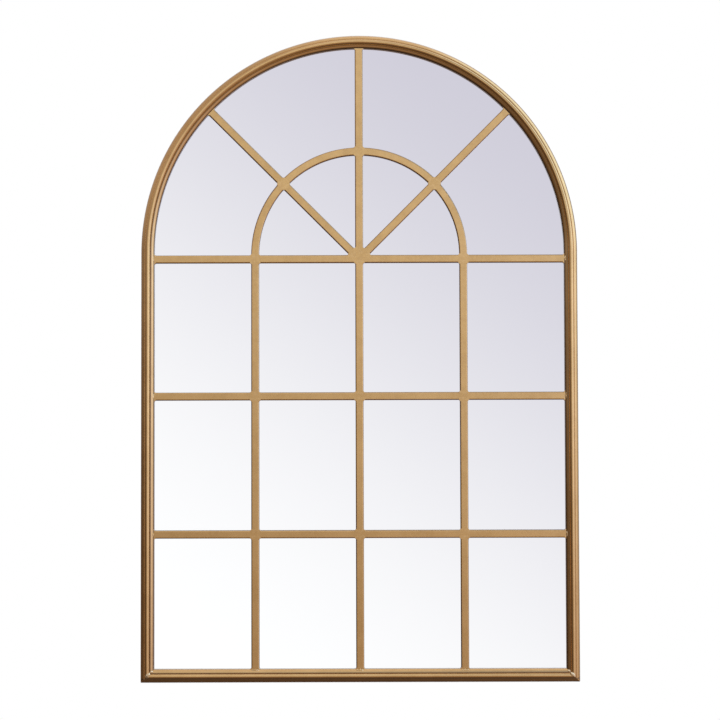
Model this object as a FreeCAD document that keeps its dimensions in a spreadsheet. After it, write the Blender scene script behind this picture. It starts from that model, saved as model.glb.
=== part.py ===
import FreeCAD, Part
import math
import operator
import os
from types import SimpleNamespace

import Sketcher

# Arched window mirror, to hang on a wall. Millimetres and degrees, +Z up, the mirror faces -Y.
# The origin lies on the wall plane, midway between the two hanging points. The wall plane is y = 0,
# the springing line of the arch is z = 0, and "depth" below is a distance forward from the wall.

Vector = FreeCAD.Vector

# Driving dimensions
SIZES = {
    # Outline of the frame
    "overall_width": 813.0,
    "overall_height": 1204.0,
    "corner_round": 2.5,
    # Moulded section of the frame, from its outer edge inwards
    "slope_width": 7.0,
    "slope_drop": 7.0,
    "slope_radius": 12.0,
    "quirk_width": 0.7,
    "quirk_depth": 0.4,
    "bead_width": 9.2,
    "bead_rise": 3.2,
    "ledge_width": 7.4,
    "ledge_round": 5.4,
    "lip_thickness": 7.0,
    "chamber_width": 15.0,
    "tube_wall": 1.2,
    # Flat bars of the grille. The springing line lies springing_rise above the transom's top edge
    "bar_width": 15.0,
    "bar_thickness": 3.5,
    "bar_round": 2.4,
    "springing_rise": 5.5,
    "outer_pane_extra": 1.0,
    "spoke_angle": 45.0,
    # Glass, tape and board in the rebate
    "glass_thickness": 4.0,
    "tape_thickness": 1.0,
    "tape_inset": 1.0,
    "tape_clearance": 0.3,
    "board_thickness": 5.0,
    "edge_clearance": 1.5,
    # Turn buttons that hold the board
    "button_thickness": 1.2,
    "button_pivot_radius": 5.5,
    "button_tip_radius": 4.0,
    "button_reach": 17.0,
    "button_round": 0.3,
    "button_play": 0.1,
    "button_arch_angle": 45.0,
    # Screws
    "shank_radius": 1.6,
    "shank_length": 8.0,
    "shank_point": 2.0,
    "head_radius": 2.6,
    "head_height": 1.4,
    "recess_span": 2.8,
    "recess_width": 0.7,
    "recess_depth": 0.7,
    "pilot_clearance": 0.05,
    # Strap hangers and their D rings
    "strap_width": 9.0,
    "strap_thickness": 1.2,
    "strap_inset": 9.0,
    "strap_screw_drop": 6.2,
    "strap_screw_pitch": 11.0,
    "strap_end_margin": 5.0,
    "strap_round": 3.0,
    "ring_wire_radius": 1.5,
    "ring_half_width": 7.0,
    "ring_corner_radius": 2.0,
    "ring_side_height": 4.0,
    "running_clearance": 0.08,
    # Wall bumpers
    "bumper_height": 6.0,
    "bumper_radius": 6.0,
    "bumper_wall_radius": 5.0,
    "bumper_inset": 7.5,
    "bumper_arch_angle": 67.5,
    "bumper_rise": 40.0,
}

PANE_COLUMNS = 4
PANE_ROWS = 3
JAMB_BUTTONS = 2
RIGHT_ANGLE = 90.0
HALF_TURN = 180.0
FULL_TURN = 360.0
CUT_MARGIN = 5.0
LEFT = -1
RIGHT = 1

doc = FreeCAD.newDocument("window_mirror")
sheet = doc.addObject("Spreadsheet::Sheet", "sizes")
for row, (alias, number) in enumerate(SIZES.items(), start=1):
    sheet.set(f"A{row}", alias)
    sheet.set(f"B{row}", str(number))
    sheet.setAlias(f"B{row}", alias)
doc.recompute()


# Sizes that carry their own formula
class Size:
    """A length or an angle, together with the formula that gives it from the sheet."""

    def __init__(self, value, formula):
        self.value = value
        self.formula = formula

    def __add__(self, other):
        return combined(self, "+", other)

    def __radd__(self, other):
        return combined(other, "+", self)

    def __sub__(self, other):
        return combined(self, "-", other)

    def __rsub__(self, other):
        return combined(other, "-", self)

    def __mul__(self, other):
        return combined(self, "*", other)

    def __rmul__(self, other):
        return combined(other, "*", self)

    def __truediv__(self, other):
        return combined(self, "/", other)

    def __neg__(self):
        return combined(0.0, "-", self)


ARITHMETIC = {"+": operator.add, "-": operator.sub, "*": operator.mul, "/": operator.truediv}


def as_size(number):
    if isinstance(number, Size):
        return number
    return Size(float(number), repr(float(number)))


def combined(left, sign, right):
    left = as_size(left)
    right = as_size(right)
    return Size(ARITHMETIC[sign](left.value, right.value), f"({left.formula} {sign} {right.formula})")


def root(size):
    return Size(math.sqrt(size.value), f"sqrt({size.formula})")


def cosine(angle):
    return Size(math.cos(math.radians(angle.value)), f"cos({angle.formula})")


def sine(angle):
    return Size(math.sin(math.radians(angle.value)), f"sin({angle.formula})")


s = SimpleNamespace(**{alias: Size(float(sheet.get(alias)), f"sizes.{alias}") for alias in SIZES})

# Places that several pieces share
outer_radius = s.overall_width / 2
jamb_height = s.overall_height - outer_radius
bottom = -jamb_height
face_width = s.slope_width + s.quirk_width * 2 + s.bead_width + s.ledge_width
lip_radius = outer_radius - face_width
rebate_radius = outer_radius - s.chamber_width
fixing_radius = outer_radius - s.chamber_width / 2

frame_back = s.bumper_height
board_front = frame_back + s.board_thickness
glass_front = board_front + s.glass_thickness
lip_back = glass_front + s.tape_thickness
bar_front = lip_back + s.bar_thickness
ledge_front = lip_back + s.lip_thickness
quirk_floor = ledge_front - s.quirk_depth
crest = quirk_floor + s.bead_rise

half_bar = s.bar_width / 2
transom_top = -s.springing_rise
hub_height = transom_top - half_bar
column_pitch = (lip_radius * 2 + s.bar_width - s.outer_pane_extra * 2) / PANE_COLUMNS
row_pitch = (jamb_height - s.springing_rise - face_width) / PANE_ROWS
arch_inner_radius = column_pitch - half_bar
arch_outer_radius = column_pitch + half_bar

button_back = frame_back - s.button_thickness - s.button_play * 2
strap_back = frame_back - s.strap_thickness
eye_bore_radius = s.ring_wire_radius + s.running_clearance
eye_radius = eye_bore_radius + s.strap_thickness
eye_depth = frame_back - eye_radius
ring_rise = s.ring_side_height + s.ring_half_width - s.ring_wire_radius
ring_axis = -ring_rise
hanger_radius = outer_radius - s.strap_inset
strap_screw_drops = (s.strap_screw_drop, s.strap_screw_drop + s.strap_screw_pitch)


def on_arch(radius, angle):
    """The place on a circle about the arch's centre, with the angle taken from the right-hand jamb."""
    return radius * cosine(angle), radius * sine(angle)


# Turn buttons: name, place on the frame's back, and the angle round the frame that they point in from
button_spots = []
for side, side_name, angle in ((LEFT, "left", HALF_TURN), (RIGHT, "right", 0.0)):
    for step, level in enumerate(("upper", "lower"), start=1):
        height = bottom * step / (JAMB_BUTTONS + 1)
        button_spots.append((f"turn_button_{side_name}_{level}", fixing_radius * side, height, as_size(angle)))
    button_spots.append(
        (f"turn_button_bottom_{side_name}", outer_radius * side / 2, bottom + s.chamber_width / 2,
         as_size(HALF_TURN + RIGHT_ANGLE))
    )
for spot_name, angle in (
    ("right", RIGHT_ANGLE - s.button_arch_angle),
    ("top", as_size(RIGHT_ANGLE)),
    ("left", RIGHT_ANGLE + s.button_arch_angle),
):
    button_spots.append((f"turn_button_arch_{spot_name}", *on_arch(fixing_radius, angle), angle))
rail_button_names = ("turn_button_bottom_left", "turn_button_bottom_right")

hanger_screw_spots = [
    (hanger_radius * side, ring_axis - drop) for side in (LEFT, RIGHT) for drop in strap_screw_drops
]
bumper_line = outer_radius - s.bumper_inset
bumper_spots = [
    on_arch(bumper_line, s.bumper_arch_angle),
    on_arch(bumper_line, HALF_TURN - s.bumper_arch_angle),
    (-bumper_line, bottom + s.bumper_rise),
    (bumper_line, bottom + s.bumper_rise),
]

pieces = []


# Sketches and features
def new_body(label, is_piece=True):
    body = doc.addObject("PartDesign::Body", label)
    body.Label = label
    if is_piece:
        pieces.append(body)
    return body


def place(item, x=None, y=None, z=None, turn=None):
    """Ties a piece's place, and its turn about the axis from front to back, to the sheet."""
    item.Placement = FreeCAD.Placement(Vector(), FreeCAD.Rotation(Vector(0, 1, 0), 1))
    item.setExpression("Placement.Rotation.Angle", as_size(turn or 0.0).formula)
    for axis, size in (("x", x), ("y", y), ("z", z)):
        item.setExpression(f"Placement.Base.{axis}", as_size(size or 0.0).formula)


def origin_plane(body, role):
    return next(feature for feature in body.Origin.OriginFeatures if feature.Role == role)


def new_sketch(body, role, name, offset=None):
    """A sketch on one of the body's own planes. On XZ_Plane the offset is a depth from the wall."""
    sketch = body.newObject("Sketcher::SketchObject", f"{body.Label}_{name}")
    sketch.AttachmentSupport = (origin_plane(body, role), [""])
    sketch.MapMode = "FlatFace"
    if offset is not None:
        sketch.setExpression("AttachmentOffset.Base.z", as_size(offset).formula)
    return sketch


def tie_point(sketch, geometry, position, x, y):
    for kind, size in (("DistanceX", as_size(x)), ("DistanceY", as_size(y))):
        index = sketch.addConstraint(Sketcher.Constraint(kind, -1, 1, geometry, position, size.value))
        sketch.setExpression(f"Constraints[{index}]", size.formula)


def tie_radius(sketch, geometry, radius):
    index = sketch.addConstraint(Sketcher.Constraint("Radius", geometry, radius.value))
    sketch.setExpression(f"Constraints[{index}]", radius.formula)


def arc_between(start, end, radius, turn):
    """The shorter arc from start to end, with its centre on the left for turn +1 and on the right for -1."""
    chord = end - start
    left_normal = Vector(-chord.y, chord.x, 0).normalize()
    centre = (start + end) / 2 + left_normal * turn * math.sqrt(radius**2 - (chord.Length / 2) ** 2)
    first, last = (start, end) if turn > 0 else (end, start)
    first_angle = math.atan2(first.y - centre.y, first.x - centre.x)
    last_angle = math.atan2(last.y - centre.y, last.x - centre.x)
    return Part.ArcOfCircle(Part.Circle(centre, Vector(0, 0, 1), radius), first_angle, last_angle)


def draw_loop(sketch, corners, arcs=None):
    """A closed outline through its corners. arcs gives some sides, by number, a radius and a turn."""
    arcs = arcs or {}
    count = len(corners)
    points = [Vector(as_size(x).value, as_size(y).value, 0) for x, y in corners]
    ends = []
    for side in range(count):
        start = points[side]
        end = points[(side + 1) % count]
        if side in arcs:
            radius, turn = arcs[side]
            geometry = sketch.addGeometry(arc_between(start, end, radius.value, turn))
            ends.append((geometry, 1, 2) if turn > 0 else (geometry, 2, 1))
        else:
            geometry = sketch.addGeometry(Part.LineSegment(start, end))
            ends.append((geometry, 1, 2))
    for side in range(count):
        geometry, _, end = ends[side]
        following, start, _ = ends[(side + 1) % count]
        sketch.addConstraint(Sketcher.Constraint("Coincident", geometry, end, following, start))
    for (geometry, start, _), (x, y) in zip(ends, corners):
        tie_point(sketch, geometry, start, x, y)
    for side, (radius, _) in arcs.items():
        tie_radius(sketch, ends[side][0], radius)


def draw_circle(sketch, x, y, radius):
    centre = Vector(as_size(x).value, as_size(y).value, 0)
    geometry = sketch.addGeometry(Part.Circle(centre, Vector(0, 0, 1), radius.value))
    tie_point(sketch, geometry, 3, x, y)
    tie_radius(sketch, geometry, radius)


def pad(body, sketch, length, backwards=False):
    feature = body.newObject("PartDesign::Pad", f"{sketch.Name}_pad")
    feature.Profile = sketch
    feature.Reversed = backwards
    feature.setExpression("Length", as_size(length).formula)
    return feature


def pocket_forward(body, sketch, length):
    """Cuts from an XZ sketch towards the front, and makes sure that something was cut."""
    doc.recompute()
    whole = body.Shape.Volume
    feature = body.newObject("PartDesign::Pocket", f"{sketch.Name}_pocket")
    feature.Profile = sketch
    feature.Reversed = True
    feature.setExpression("Length", as_size(length).formula)
    doc.recompute()
    if body.Shape.Volume >= whole:
        raise RuntimeError(f"{sketch.Name} cuts nothing")
    return feature


def revolve(body, sketch, angle, backwards=False):
    feature = body.newObject("PartDesign::Revolution", f"{sketch.Name}_turn")
    feature.Profile = sketch
    feature.ReferenceAxis = (sketch, ["V_Axis"])
    feature.Angle = angle
    feature.Reversed = backwards
    return feature


def edge_numbers(shape, chosen):
    return [number for number, edge in enumerate(shape.Edges, start=1) if chosen(edge)]


def round_edges(body, base, radius, chosen):
    doc.recompute()
    feature = body.newObject("PartDesign::Fillet", f"{body.Label}_round")
    feature.Base = (base, [f"Edge{number}" for number in edge_numbers(base.Shape, chosen)])
    feature.setExpression("Radius", radius.formula)
    return feature


def lies_at(value, size):
    return abs(value - size.value) < 1e-6


def is_long_front_edge(edge):
    """True for the long edges of a bar's front face, which the mill leaves rounded."""
    box = edge.BoundBox
    on_front = lies_at(box.YMin, -bar_front) and lies_at(box.YMax, -bar_front)
    return on_front and edge.Length > s.bar_width.value * 2


# Frame
def frame_section():
    """The section's corners as pairs of inset from the outer edge and depth from the wall."""
    bead_start = s.slope_width + s.quirk_width
    bead_end = bead_start + s.bead_width
    bead_middle = bead_start + s.bead_width / 2
    ledge_start = bead_end + s.quirk_width
    slope_foot = ledge_front - s.slope_drop
    outside = [
        (0.0, frame_back),
        (0.0, slope_foot),
        (s.slope_width, ledge_front),
        (s.slope_width, quirk_floor),
        (bead_start, quirk_floor),
        (bead_middle, crest),
        (bead_end, quirk_floor),
        (ledge_start, quirk_floor),
        (ledge_start, ledge_front),
        (face_width - s.ledge_round, ledge_front),
        (face_width, ledge_front - s.ledge_round),
        (face_width, lip_back),
        (s.chamber_width, lip_back),
        (s.chamber_width, frame_back),
    ]
    half_bead = s.bead_width / 2
    bead_radius = (half_bead * half_bead + s.bead_rise * s.bead_rise) / (s.bead_rise * 2)
    arcs = {1: (s.slope_radius, -1), 4: (bead_radius, -1), 5: (bead_radius, -1), 9: (s.ledge_round, -1)}
    wall = s.tube_wall
    inside = [
        (wall, frame_back + wall),
        (wall, slope_foot),
        (s.slope_width, quirk_floor - wall),
        (face_width - s.ledge_round, quirk_floor - wall),
        (face_width - wall, ledge_front - s.ledge_round),
        (face_width - wall, lip_back + wall),
        (s.chamber_width - wall, lip_back + wall),
        (s.chamber_width - wall, frame_back + wall),
    ]
    return outside, arcs, inside


def draw_section(sketch, to_plane):
    outside, arcs, inside = frame_section()
    draw_loop(sketch, [to_plane(inset, depth) for inset, depth in outside], arcs)
    draw_loop(sketch, [to_plane(inset, depth) for inset, depth in inside])


def mitre_points():
    """Where the mitre starts, past the lip, and where it ends on the rounded corner."""
    reach = face_width + CUT_MARGIN
    corner = s.corner_round * (1 - math.sqrt(0.5))
    return (outer_radius - reach, bottom + reach), (outer_radius - corner, bottom + corner)


def cut_mitres(body, corners, arc_side):
    """Cuts the same shape off the right-hand and the left-hand end."""
    sketch = new_sketch(body, "XZ_Plane", "mitres", 0.0)
    for side in (RIGHT, LEFT):
        arcs = {arc_side: (s.corner_round, side)}
        draw_loop(sketch, [(x * side, z) for x, z in corners], arcs)
    pocket_forward(body, sketch, crest + CUT_MARGIN)


def drill_pilots(body, spots):
    sketch = new_sketch(body, "XZ_Plane", "pilots", frame_back)
    for x, z in spots:
        draw_circle(sketch, x, z, s.shank_radius + s.pilot_clearance)
    pocket_forward(body, sketch, s.tube_wall)


def make_frame_arch():
    body = new_body("frame_arch")
    sketch = new_sketch(body, "XY_Plane", "section")
    draw_section(sketch, lambda inset, depth: (outer_radius - inset, -depth))
    revolve(body, sketch, HALF_TURN, backwards=True)
    jamb = pad(body, sketch, jamb_height, backwards=True)
    doc.recompute()
    both_jambs = body.newObject("PartDesign::Mirrored", "frame_arch_jambs")
    both_jambs.Originals = [jamb]
    both_jambs.MirrorPlane = (origin_plane(body, "YZ_Plane"), [""])
    body.Tip = both_jambs
    start, corner = mitre_points()
    outside = outer_radius + CUT_MARGIN
    below = bottom - CUT_MARGIN
    rounded = bottom + s.corner_round
    cut_mitres(
        body,
        [start, corner, (outer_radius, rounded), (outside, rounded), (outside, below), (start[0], below)],
        arc_side=1,
    )
    spots = [(x, z) for name, x, z, _ in button_spots if name not in rail_button_names]
    drill_pilots(body, spots + hanger_screw_spots)


def make_frame_bottom_rail():
    body = new_body("frame_bottom_rail")
    sketch = new_sketch(body, "YZ_Plane", "section", -outer_radius)
    draw_section(sketch, lambda inset, depth: (-depth, bottom + inset))
    pad(body, sketch, s.overall_width)
    start, corner = mitre_points()
    outside = outer_radius + CUT_MARGIN
    below = bottom - CUT_MARGIN
    rounded = outer_radius - s.corner_round
    cut_mitres(
        body,
        [corner, start, (outside, start[1]), (outside, below), (rounded, below), (rounded, bottom)],
        arc_side=5,
    )
    drill_pilots(body, [(x, z) for name, x, z, _ in button_spots if name in rail_button_names])


# Grille of flat bars
def make_straight_bar(label, x_range, z_range):
    body = new_body(label)
    sketch = new_sketch(body, "XZ_Plane", "face", lip_back)
    (x_low, x_high), (z_low, z_high) = x_range, z_range
    draw_loop(sketch, [(x_low, z_low), (x_high, z_low), (x_high, z_high), (x_low, z_high)])
    bar = pad(body, sketch, s.bar_thickness)
    round_edges(body, bar, s.bar_round, is_long_front_edge)


def make_cross_bars():
    for row, label in enumerate(("transom_bar", "upper_cross_bar", "lower_cross_bar")):
        top = transom_top - row_pitch * row
        make_straight_bar(label, (-lip_radius, lip_radius), (top - s.bar_width, top))


def make_mullions():
    for column, column_name in enumerate(("left", "centre", "right"), start=-1):
        middle = column_pitch * column
        for row, row_name in enumerate(("upper", "middle", "lower")):
            top = transom_top - row_pitch * row - s.bar_width
            low = transom_top - row_pitch * (row + 1)
            make_straight_bar(
                f"mullion_{column_name}_{row_name}", (middle - half_bar, middle + half_bar), (low, top)
            )


def make_inner_arch_bar():
    body = new_body("inner_arch_bar")
    sketch = new_sketch(body, "XY_Plane", "section")
    draw_loop(sketch, [
        (arch_inner_radius, -bar_front),
        (arch_outer_radius, -bar_front),
        (arch_outer_radius, -lip_back),
        (arch_inner_radius, -lip_back),
    ])
    bar = revolve(body, sketch, HALF_TURN, backwards=True)
    round_edges(body, bar, s.bar_round, is_long_front_edge)
    place(body, z=transom_top)


def make_disc(name, radius, centre):
    """A round cutter at a height, with its axis from the wall to in front of the frame."""
    disc = doc.addObject("Part::Cylinder", name)
    disc.Placement = FreeCAD.Placement(Vector(), FreeCAD.Rotation(Vector(1, 0, 0), RIGHT_ANGLE))
    disc.setExpression("Placement.Base.z", as_size(centre).formula)
    disc.setExpression("Radius", radius.formula)
    disc.setExpression("Height", crest.formula)
    return disc


def make_block(name, x_range, z_range, y_range):
    block = doc.addObject("Part::Box", name)
    place(block, x_range[0], y_range[0], z_range[0])
    for axis_name, (low, high) in (("Length", x_range), ("Width", y_range), ("Height", z_range)):
        block.setExpression(axis_name, (high - low).formula)
    return block


def joined(kind, name, base, tool):
    result = doc.addObject(kind, name)
    result.Base = base
    result.Tool = tool
    return result


def make_spokes():
    """The upright and the two diagonals of the fan, each cut in two by the inner arch."""
    full_depth = (-crest, as_size(0.0))
    full_width = (-outer_radius, outer_radius)
    inside_lip = make_disc("inside_lip", lip_radius, 0.0)
    inside_arch = make_disc("inside_arch", arch_inner_radius, transom_top)
    within_arch = make_disc("within_arch", arch_outer_radius, transom_top)
    below_transom = make_block("below_transom", full_width, (-outer_radius, transom_top), full_depth)
    on_upright = make_block("on_upright", (-half_bar, half_bar), full_width, full_depth)
    for name, turn in (
        ("left", FULL_TURN - s.spoke_angle),
        ("centre", as_size(0.0)),
        ("right", s.spoke_angle),
    ):
        strip = make_block(
            f"strip_{name}", (-half_bar, half_bar), (as_size(0.0), outer_radius), (-bar_front, -lip_back)
        )
        place(strip, -half_bar * cosine(turn), -bar_front, half_bar * sine(turn) + hub_height, turn)
        inner = joined("Part::Common", f"{name}_in_arch", strip, inside_arch)
        inner = joined("Part::Cut", f"{name}_on_transom", inner, below_transom)
        if name != "centre":
            inner = joined("Part::Cut", f"{name}_beside_upright", inner, on_upright)
        outer = joined("Part::Common", f"{name}_in_lip", strip, inside_lip)
        outer = joined("Part::Cut", f"{name}_past_arch", outer, within_arch)
        doc.recompute()
        for half, half_name in ((inner, "inner"), (outer, "outer")):
            spoke = doc.addObject("Part::Fillet", f"spoke_{name}_{half_name}")
            spoke.Base = half
            radius = s.bar_round.value
            spoke.Edges = [(edge, radius, radius) for edge in edge_numbers(half.Shape, is_long_front_edge)]
            pieces.append(spoke)


# Glass, tape and board in the rebate
def arched_outline(radius, low):
    """Corners and arcs of an arched sheet with its centre on the springing line."""
    corners = [(-radius, low), (radius, low), (radius, 0.0), (0.0, radius), (-radius, 0.0)]
    return corners, {2: (radius, 1), 3: (radius, 1)}


def make_sheet(label, back, thickness, *outlines):
    body = new_body(label)
    sketch = new_sketch(body, "XZ_Plane", "outline", back)
    for corners, arcs in outlines:
        draw_loop(sketch, corners, arcs)
    pad(body, sketch, thickness)


def make_glazing():
    sheet_outline = arched_outline(rebate_radius - s.edge_clearance, bottom + s.chamber_width)
    make_sheet("mirror_glass", board_front, s.glass_thickness, sheet_outline)
    make_sheet("backing_board", frame_back, s.board_thickness, sheet_outline)
    tape_outside = arched_outline(
        rebate_radius - s.tape_clearance, bottom + s.chamber_width + s.tape_clearance
    )
    tape_inside = arched_outline(lip_radius + s.tape_inset, bottom + face_width - s.tape_inset)
    make_sheet("glazing_tape", glass_front, s.tape_thickness, tape_outside, tape_inside)


# Turn buttons
def make_turn_buttons():
    """Teardrop plates, each turning on its own screw, whose tips hold the board."""
    pivot, tip, reach = s.button_pivot_radius, s.button_tip_radius, s.button_reach
    lean = (pivot - tip) / reach
    across = root(1 - lean * lean)
    corners = [
        (0.0, -pivot),
        (pivot * across, pivot * lean),
        (tip * across, reach + tip * lean),
        (0.0, reach + tip),
        (-tip * across, reach + tip * lean),
        (-pivot * across, pivot * lean),
    ]
    arcs = {0: (pivot, 1), 2: (tip, 1), 3: (tip, 1), 5: (pivot, 1)}

    def is_rear_edge(edge):
        box = edge.BoundBox
        return lies_at(box.YMin, as_size(0.0)) and lies_at(box.YMax, as_size(0.0))

    for label, x, z, angle in button_spots:
        body = new_body(label)
        outline = new_sketch(body, "XZ_Plane", "outline", 0.0)
        draw_loop(outline, corners, arcs)
        plate = pad(body, outline, s.button_thickness)
        rounded = round_edges(body, plate, s.button_round, is_rear_edge)
        body.Tip = rounded
        hole = new_sketch(body, "XZ_Plane", "hole", 0.0)
        draw_circle(hole, 0.0, 0.0, s.shank_radius + s.running_clearance)
        pocket_forward(body, hole, s.button_thickness)
        inwards = HALF_TURN + RIGHT_ANGLE - angle
        place(body, x, -(button_back + s.button_play), z, inwards)


# Screws and bumpers, in groups of like solids
def make_group(label, pattern, spots, depth):
    """Copies of one pattern body, kept together as one piece."""
    copies = []
    for number, (x, z) in enumerate(spots, start=1):
        copy = doc.addObject("App::Link", f"{label}_{number}")
        copy.LinkedObject = pattern
        place(copy, x, -depth, z)
        copies.append(copy)
    group = doc.addObject("Part::Compound", label)
    group.Links = copies
    pieces.append(group)


def make_screw_pattern():
    """A domed screw with a cross recess. Its seat is at y = 0 and its point is to the front."""
    body = new_body("screw_pattern", is_piece=False)
    profile = new_sketch(body, "XY_Plane", "profile")
    dome = (s.head_radius * s.head_radius + s.head_height * s.head_height) / (s.head_height * 2)
    draw_loop(
        profile,
        [
            (0.0, s.head_height),
            (0.0, -s.shank_length),
            (s.shank_radius, s.shank_point - s.shank_length),
            (s.shank_radius, 0.0),
            (s.head_radius, 0.0),
        ],
        {4: (dome, 1)},
    )
    revolve(body, profile, FULL_TURN)
    recess = new_sketch(body, "XZ_Plane", "recess", -s.head_height)
    span, width = s.recess_span / 2, s.recess_width / 2
    quarter = [(span, -width), (span, width), (width, width)]
    cross = []
    for _ in range(4):
        cross += quarter
        quarter = [(-z, x) for x, z in quarter]
    draw_loop(recess, cross)
    pocket_forward(body, recess, s.recess_depth)
    return body


def make_bumper_pattern():
    """A tapered rubber foot. Its seat on the frame is at y = 0 and its wall face is behind it."""
    body = new_body("bumper_pattern", is_piece=False)
    profile = new_sketch(body, "XY_Plane", "profile")
    draw_loop(profile, [
        (0.0, 0.0),
        (s.bumper_radius, 0.0),
        (s.bumper_wall_radius, s.bumper_height),
        (0.0, s.bumper_height),
    ])
    revolve(body, profile, FULL_TURN)
    return body


def make_fixings():
    screw = make_screw_pattern()
    button_places = [(x, z) for _, x, z, _ in button_spots]
    make_group("turn_button_screws", screw, button_places, button_back)
    make_group("hanger_screws", screw, hanger_screw_spots, strap_back)
    make_group("wall_bumpers", make_bumper_pattern(), bumper_spots, frame_back)


# Strap hangers and D rings
def make_hanger_strap(label, side):
    """A strap screwed flat to the jamb's back, its upper end rolled into an eye for the ring."""
    body = new_body(label)
    profile = new_sketch(body, "YZ_Plane", "profile", -s.strap_width / 2)
    meeting = root(eye_radius * eye_radius - eye_bore_radius * eye_bore_radius)
    strap_end = ring_axis - strap_screw_drops[1] - s.strap_end_margin
    draw_loop(
        profile,
        [
            (-frame_back, strap_end),
            (-strap_back, strap_end),
            (-strap_back, ring_axis - meeting),
            (-eye_depth, ring_axis - eye_radius),
            (eye_radius - eye_depth, ring_axis),
            (-eye_depth, ring_axis + eye_radius),
            (-frame_back, ring_axis),
        ],
        {side_number: (eye_radius, 1) for side_number in (2, 3, 4, 5)},
    )
    draw_circle(profile, -eye_depth, ring_axis, eye_bore_radius)
    strip = pad(body, profile, s.strap_width)

    def is_end_corner(edge):
        box = edge.BoundBox
        return lies_at(box.ZMin, strap_end) and lies_at(box.ZMax, strap_end) and box.XLength < 1e-6

    round_edges(body, strip, s.strap_round, is_end_corner)
    holes = new_sketch(body, "XZ_Plane", "holes", strap_back)
    for drop in strap_screw_drops:
        draw_circle(holes, 0.0, ring_axis - drop, s.shank_radius + s.pilot_clearance)
    pocket_forward(body, holes, s.strap_thickness)
    place(body, hanger_radius * side)


def make_d_ring(label, side):
    """A ring of round wire: a straight bar in the strap's eye, two short sides and a half-round top."""
    body = new_body(label)
    half, corner, shoulder = s.ring_half_width, s.ring_corner_radius, s.ring_side_height
    path = new_sketch(body, "XZ_Plane", "path", 0.0)
    draw_loop(
        path,
        [
            (0.0, 0.0),
            (half - corner, 0.0),
            (half, corner),
            (half, shoulder),
            (0.0, shoulder + half),
            (-half, shoulder),
            (-half, corner),
            (corner - half, 0.0),
        ],
        {1: (corner, 1), 3: (half, 1), 4: (half, 1), 6: (corner, 1)},
    )
    wire = new_sketch(body, "YZ_Plane", "wire")
    draw_circle(wire, 0.0, 0.0, s.ring_wire_radius)
    pipe = body.newObject("PartDesign::AdditivePipe", f"{label}_pipe")
    pipe.Profile = wire
    pipe.Spine = (path, [])
    place(body, hanger_radius * side, -eye_depth, ring_axis)


def make_hangers():
    for side, side_name in ((LEFT, "left"), (RIGHT, "right")):
        make_hanger_strap(f"hanger_strap_{side_name}", side)
        make_d_ring(f"d_ring_{side_name}", side)


def check_document():
    doc.recompute()
    failed = [item.Label for item in doc.Objects if {"Invalid", "Error"} & set(item.State)]
    if failed:
        raise RuntimeError(f"not built: {failed}")
    for piece in pieces:
        shape = piece.Shape
        if shape.isNull() or not shape.isValid() or not shape.Solids:
            raise RuntimeError(f"{piece.Label} has no valid solid")


def write_pieces():
    os.makedirs("parts", exist_ok=True)
    for piece in pieces:
        piece.Shape.exportStep(f"parts/{piece.Label}.step")


make_frame_arch()
make_frame_bottom_rail()
make_cross_bars()
make_mullions()
make_inner_arch_bar()
make_spokes()
make_glazing()
make_turn_buttons()
make_fixings()
make_hangers()
check_document()
write_pieces()
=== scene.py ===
"""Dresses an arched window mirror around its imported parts. Laid out as an add-on, run as a script."""
import math

import bpy
from mathutils import Euler, Matrix, Vector


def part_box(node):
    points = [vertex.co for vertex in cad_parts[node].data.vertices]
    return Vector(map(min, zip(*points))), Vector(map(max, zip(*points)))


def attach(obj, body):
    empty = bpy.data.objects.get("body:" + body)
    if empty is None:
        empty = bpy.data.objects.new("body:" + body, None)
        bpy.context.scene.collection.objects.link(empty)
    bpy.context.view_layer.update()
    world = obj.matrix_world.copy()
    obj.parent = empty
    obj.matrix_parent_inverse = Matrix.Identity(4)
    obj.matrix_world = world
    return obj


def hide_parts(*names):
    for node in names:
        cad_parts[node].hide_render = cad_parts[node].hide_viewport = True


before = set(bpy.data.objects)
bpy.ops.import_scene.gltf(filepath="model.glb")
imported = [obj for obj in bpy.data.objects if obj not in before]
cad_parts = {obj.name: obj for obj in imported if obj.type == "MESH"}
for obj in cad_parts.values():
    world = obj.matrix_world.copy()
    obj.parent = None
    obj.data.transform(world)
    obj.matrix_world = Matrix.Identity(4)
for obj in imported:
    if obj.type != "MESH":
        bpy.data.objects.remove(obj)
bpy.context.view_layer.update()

bl_info = {
    "name": "Arched window mirror",
    "version": (1, 0, 0),
    "blender": (4, 5, 0),
    "location": "View3D > Sidebar > Mirror",
    "description": "Dresses an arched window mirror: mouldings, welds, bumpers, finishes and a studio",
    "category": "Object",
}

MM = 0.001
BODY = "mirror"
X, Y, Z = 0, 1, 2
FORWARD = Vector((0, -1, 0))
RIGHTWARD = Vector((1, 0, 0))
UPWARD = Vector((0, 0, 1))
QUARTER = math.pi / 2
EIGHTH = math.pi / 4

# Distances below which points are one, and the tolerance of a cut
MERGE_GAP = 0.001 * MM
AXIS_GAP = 0.005 * MM
SEAM_GAP = 0.01 * MM
CUT_GAP = 1e-7

COLUMNS = ("left", "centre", "right")
ROWS = ("upper", "middle", "lower")
CROSS_BARS = ("transom_bar", "upper_cross_bar", "lower_cross_bar")
SPOKE_ANGLES = (EIGHTH, 2 * EIGHTH, 3 * EIGHTH)

ARCH_LOW, ARCH_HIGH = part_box("frame_arch")
RAIL_LOW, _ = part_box("frame_bottom_rail")
TRANSOM_LOW, TRANSOM_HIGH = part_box("transom_bar")
FAN_LOW, FAN_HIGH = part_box("inner_arch_bar")
HUB_HEIGHT = (TRANSOM_LOW[Z] + TRANSOM_HIGH[Z]) / 2


def length(name, description, default):
    return bpy.props.FloatProperty(
        name=name, description=description, default=default, unit="LENGTH", precision=5
    )


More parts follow.
